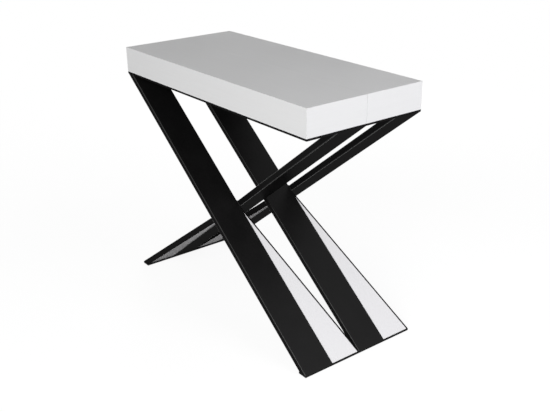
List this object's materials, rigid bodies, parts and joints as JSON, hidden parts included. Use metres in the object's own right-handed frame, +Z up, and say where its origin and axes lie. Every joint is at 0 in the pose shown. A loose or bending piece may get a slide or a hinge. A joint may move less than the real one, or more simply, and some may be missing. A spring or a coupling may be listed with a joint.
{
  "type": "extending console table",
  "caption": "Console table with a thick white slab on crossed black legs with white triangles; it pulls apart in depth on telescopic rails hidden in the slab.",
  "frame": {"origin": "on the floor, under the middle of the closed table", "axes": "+X along the width to the right, +Y from the front to the back (the wall side), +Z up; the front half slides to -Y"},
  "size_m": [0.9, 0.4004, 0.77],
  "materials": {
    "white_board": "white melamine with a faint grain",
    "black_steel": "satin black powder coat",
    "rail_aluminium": "mill finish extrusion",
    "screw_steel": "zinc plated",
    "black_nylon": "moulded",
    "felt": "felt",
    "beech": "bare beech"
  },
  "bodies": {
    "rear_half": {"rear_top_panel": "white_board", "rear_long_apron": "white_board", "rear_left_end_apron": "white_board", "rear_right_end_apron": "white_board", "rear_mounting_plate": "black_steel", "rear_right_leg": "black_steel", "rear_right_gusset_panel": "white_board", "rear_right_gusset_edge_bar": "black_steel", "rear_right_foot_bar": "black_steel", "rear_left_leg": "black_steel", "rear_left_gusset_panel": "white_board", "rear_left_gusset_edge_bar": "black_steel", "rear_left_foot_bar": "black_steel", "rear_foot_pads": "felt", "rear_plate_screws": "screw_steel", "rear_rail_screws": "screw_steel", "rear_left_rail": "rail_aluminium", "rear_right_rail": "rail_aluminium", "rear_alignment_dowels": "beech"},
    "front_half": {"front_top_panel": "white_board", "front_long_apron": "white_board", "front_left_end_apron": "white_board", "front_right_end_apron": "white_board", "front_mounting_plate": "black_steel", "front_right_leg": "black_steel", "front_right_gusset_panel": "white_board", "front_right_gusset_edge_bar": "black_steel", "front_right_foot_bar": "black_steel", "front_left_leg": "black_steel", "front_left_gusset_panel": "white_board", "front_left_gusset_edge_bar": "black_steel", "front_left_foot_bar": "black_steel", "front_foot_pads": "felt", "front_plate_screws": "screw_steel", "front_rail_screws": "screw_steel", "front_left_rail": "rail_aluminium", "front_right_rail": "rail_aluminium", "front_stop_plugs": "black_nylon"},
    "rail_stage_1": {"stage_1_left_rail": "rail_aluminium", "stage_1_right_rail": "rail_aluminium", "stage_1_tie_bar": "black_steel", "stage_1_stop_plugs": "black_nylon"},
    "rail_stage_2": {"stage_2_left_rail": "rail_aluminium", "stage_2_right_rail": "rail_aluminium", "stage_2_tie_bar": "black_steel", "stage_2_stop_plugs": "black_nylon"},
    "rail_stage_3": {"stage_3_left_rail": "rail_aluminium", "stage_3_right_rail": "rail_aluminium", "stage_3_tie_bar": "black_steel", "stage_3_stop_plugs": "black_nylon"},
    "rail_stage_4": {"stage_4_left_rail": "rail_aluminium", "stage_4_right_rail": "rail_aluminium", "stage_4_tie_bar": "black_steel", "stage_4_stop_plugs": "black_nylon"},
    "rail_stage_5": {"stage_5_left_rail": "rail_aluminium", "stage_5_right_rail": "rail_aluminium", "stage_5_tie_bar": "black_steel", "stage_5_stop_plugs": "black_nylon"}
  },
  "joints": [
    {"name": "extension_slide", "type": "slide", "parent": "rear_half", "child": "front_half", "axis": [0, -1, 0], "range_m": [0, 1.56]},
    {"name": "stage_1_slide", "type": "slide", "parent": "rear_half", "child": "rail_stage_1", "axis": [0, -1, 0], "range_m": [0, 0.26]},
    {"name": "stage_2_slide", "type": "slide", "parent": "rear_half", "child": "rail_stage_2", "axis": [0, -1, 0], "range_m": [0, 0.52]},
    {"name": "stage_3_slide", "type": "slide", "parent": "rear_half", "child": "rail_stage_3", "axis": [0, -1, 0], "range_m": [0, 0.78]},
    {"name": "stage_4_slide", "type": "slide", "parent": "rear_half", "child": "rail_stage_4", "axis": [0, -1, 0], "range_m": [0, 1.04]},
    {"name": "stage_5_slide", "type": "slide", "parent": "rear_half", "child": "rail_stage_5", "axis": [0, -1, 0], "range_m": [0, 1.3]}
  ],
  "couplings": [
    {"joint": "stage_1_slide", "follows": "extension_slide", "ratio": 0.16667},
    {"joint": "stage_2_slide", "follows": "extension_slide", "ratio": 0.33333},
    {"joint": "stage_3_slide", "follows": "extension_slide", "ratio": 0.5},
    {"joint": "stage_4_slide", "follows": "extension_slide", "ratio": 0.66667},
    {"joint": "stage_5_slide", "follows": "extension_slide", "ratio": 0.83333}
  ]
}
